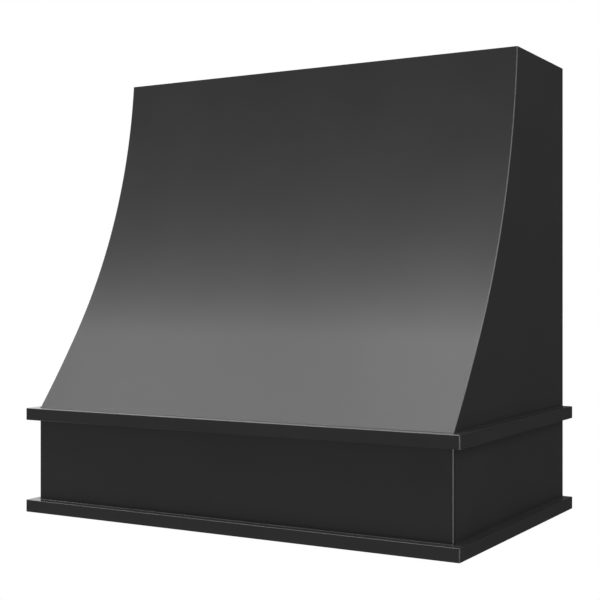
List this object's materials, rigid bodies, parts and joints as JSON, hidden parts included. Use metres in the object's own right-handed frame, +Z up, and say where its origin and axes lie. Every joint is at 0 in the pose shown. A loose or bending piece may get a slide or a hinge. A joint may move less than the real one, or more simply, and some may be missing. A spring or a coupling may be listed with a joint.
{
  "type": "range hood cover",
  "caption": "Wall-hung wooden range hood cover: bent front skin above a flat band with square mitred trim, open below and at the top for a ventilation insert and its duct.",
  "frame": {"origin": "middle of the hood's lower back edge, on the wall", "axes": "+X across the hood to the viewer's right, +Y into the wall so that the front faces -Y, +Z up"},
  "size_m": [0.9544, 0.598, 0.9144],
  "materials": {
    "black_paint": "satin paint on plywood and poplar",
    "birch_plywood": "bare sanded plywood",
    "poplar": "bare planed board",
    "zinc_screw": "zinc plated"
  },
  "bodies": {
    "wall_half": {"wall_cleat": "birch_plywood"},
    "hood": {"side_panel_left": "black_paint", "side_panel_right": "black_paint", "front_skin": "black_paint", "front_band": "black_paint", "upper_trim_front": "black_paint", "upper_trim_left": "black_paint", "upper_trim_right": "black_paint", "lower_trim_front": "black_paint", "lower_trim_left": "black_paint", "lower_trim_right": "black_paint", "curved_rib_left": "birch_plywood", "curved_rib_right": "birch_plywood", "band_stretcher": "birch_plywood", "hood_cleat": "birch_plywood", "top_front_rail": "poplar", "hanging_rail": "poplar", "lower_back_rail": "poplar", "skin_nailer": "poplar", "liner_ledge_left": "poplar", "liner_ledge_right": "poplar", "liner_ledge_front": "poplar", "liner_ledge_back": "poplar", "corner_block_left": "poplar", "corner_block_right": "poplar", "pocket_screws": "zinc_screw", "frame_screws": "zinc_screw", "ledge_screws": "zinc_screw", "cleat_screws": "zinc_screw"}
  },
  "joints": [
    {"name": "hood_lift", "type": "slide", "parent": "wall_half", "child": "hood", "axis": [0, 0, 1], "range_m": [0, 0.03]}
  ]
}
